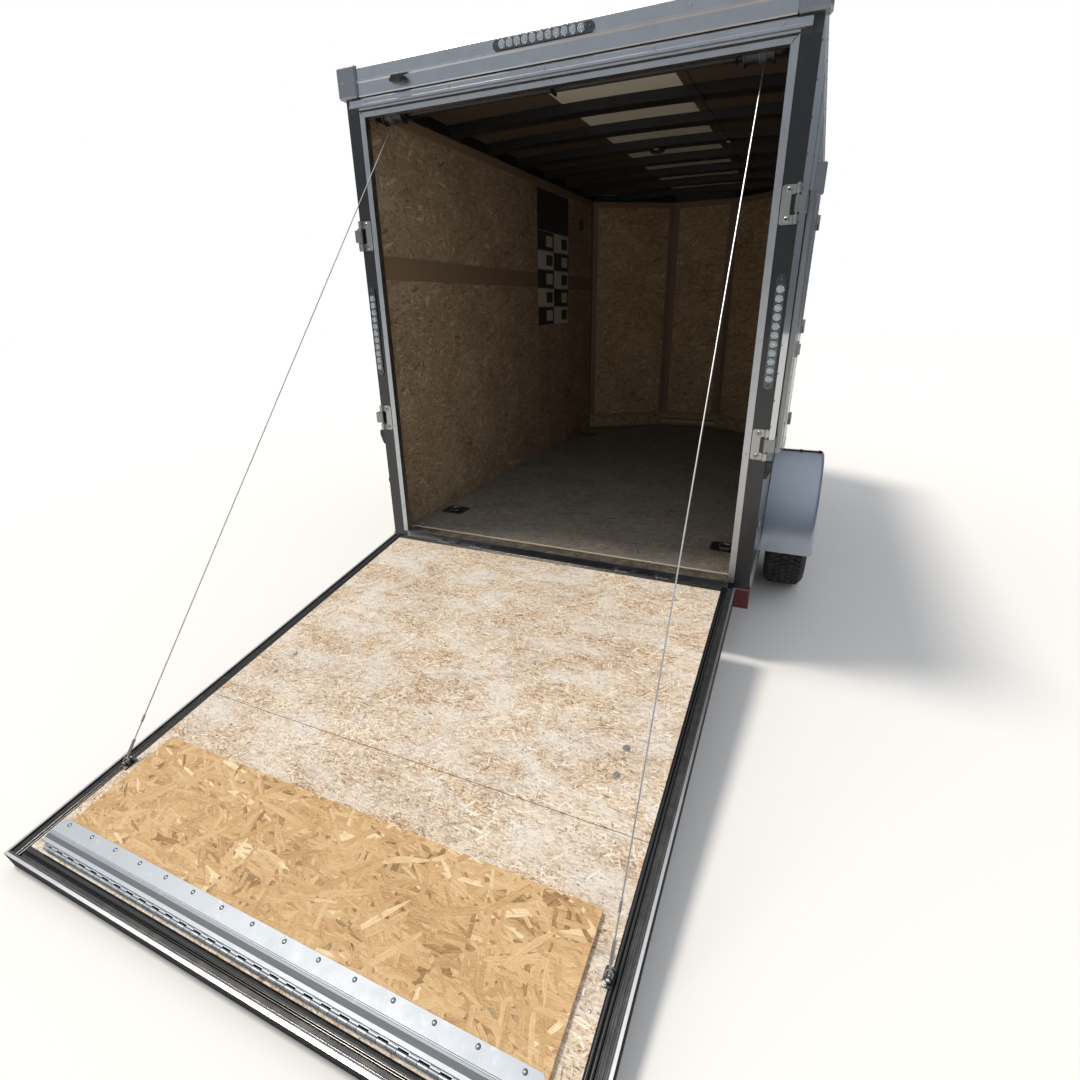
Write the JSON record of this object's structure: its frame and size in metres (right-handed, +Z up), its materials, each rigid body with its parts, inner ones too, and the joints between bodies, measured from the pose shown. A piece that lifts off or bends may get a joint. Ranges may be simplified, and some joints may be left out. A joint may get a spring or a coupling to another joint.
{
  "type": "enclosed cargo trailer",
  "caption": "Small single-axle enclosed cargo trailer with a wedge nose, side door, A-frame tongue and a rear ramp door lowered to the ground with a folded transition flap.",
  "frame": {"origin": "centre of the footprint box, on the ground under the trailer", "axes": "X to the curb side, Y forward towards the coupler, Z up"},
  "size_m": [2.309, 6.3902, 2.387],
  "materials": {
    "steel_black": "black painted steel frame",
    "post_paint": "glossy charcoal paint",
    "skin_black": "glossy black sheet",
    "bright_alu": "bright extruded aluminium",
    "fender_alu": "smooth aluminium sheet",
    "zinc": "zinc-plated steel",
    "galvanised": "galvanised sheet",
    "osb_wall": "pale oriented strand board",
    "osb_floor": "dusty oriented strand board",
    "osb_deck": "sun-bleached oriented strand board",
    "osb_flap": "golden oriented strand board",
    "roof_white": "galvanised roof sheet",
    "ceiling_pale": "pale ceiling sheet",
    "lamp_clear": "clear lamp with domes",
    "lamp_red": "red lamp",
    "dome_lens": "dark dome lamp",
    "plastic_black": "black plastic",
    "tyre": "tyre rubber",
    "rim": "silver painted wheel",
    "cable": "steel cable"
  },
  "bodies": {
    "body": {"rail_curb": "steel_black", "rail_road": "steel_black", "frame_beams": "steel_black", "tongue_rails": "steel_black", "coupler": "steel_black", "jack_tube": "zinc", "jack_leg": "zinc", "floor": "osb_floor", "wall_road": "osb_wall", "wall_curb": "osb_wall", "nose_walls": "osb_wall", "wall_bands": "osb_wall", "roof_skin": "roof_white", "roof_bows": "steel_black", "ceiling_sheet": "ceiling_pale", "edge_trim": "bright_alu", "rear_posts": "post_paint", "header_beam": "steel_black", "sill_plate": "galvanised", "opening_trim": "bright_alu", "gutter": "bright_alu", "fascia": "bright_alu", "corner_caps": "bright_alu", "light_bar": "lamp_clear", "tail_lamps": "lamp_clear", "wrap_lamps": "lamp_red", "dome_light": "dome_lens", "spring_shaft": "zinc", "cable_drums": "plastic_black", "ramp_cables": "cable", "floor_rings": "zinc", "axle_tube": "steel_black", "torsion_arms": "steel_black", "fenders": "fender_alu", "hinge_fixed": "steel_black", "door_jamb": "bright_alu", "door_hinges_wall": "zinc", "latch_plates": "zinc"},
    "ramp": {"ramp_deck": "osb_deck", "ramp_frame": "steel_black", "ramp_skin": "skin_black", "ramp_edge": "bright_alu", "hinge_ramp": "steel_black", "cable_brackets": "zinc", "flap_hinge_fixed": "galvanised"},
    "flap": {"flap_board": "osb_flap", "flap_strip": "galvanised", "flap_hinge_moving": "galvanised"},
    "side_door": {"side_door": "skin_black", "door_hinges_leaf": "zinc", "door_latch": "zinc"},
    "latch_curb": {"latch_bar_curb": "zinc"},
    "latch_road": {"latch_bar_road": "zinc"},
    "wheel_curb": {"tyre_curb": "tyre", "rim_curb": "rim"},
    "wheel_road": {"tyre_road": "tyre", "rim_road": "rim"}
  },
  "joints": [
    {"name": "ramp_hinge", "type": "hinge", "parent": "body", "child": "ramp", "pos_m": [0, -1.32986, 0.3377], "axis": [-1, 0, 0], "range_deg": [0, 99.49], "deforming": ["ramp_cables"]},
    {"name": "flap_hinge", "type": "hinge", "parent": "ramp", "child": "flap", "pos_m": [0, -3.1437, 0.07696], "axis": [-1, 0, 0], "range_deg": [-180, 0]},
    {"name": "side_door_hinge", "type": "hinge", "parent": "body", "child": "side_door", "pos_m": [0.9295, 1.61714, 1.293], "axis": [0, 0, 1], "range_deg": [0, 160]},
    {"name": "latch_curb_hinge", "type": "hinge", "parent": "body", "child": "latch_curb", "pos_m": [0.906, -1.30186, 1.369], "axis": [0, 0, -1], "range_deg": [0, 180]},
    {"name": "latch_road_hinge", "type": "hinge", "parent": "body", "child": "latch_road", "pos_m": [-0.906, -1.30186, 1.369], "axis": [0, 0, 1], "range_deg": [0, 180]},
    {"name": "wheel_curb_spin", "type": "hinge", "parent": "body", "child": "wheel_curb", "pos_m": [1.04, -0.33986, 0.338], "axis": [-1, 0, 0], "continuous": true},
    {"name": "wheel_road_spin", "type": "hinge", "parent": "body", "child": "wheel_road", "pos_m": [-1.04, -0.33986, 0.338], "axis": [-1, 0, 0], "continuous": true}
  ]
}
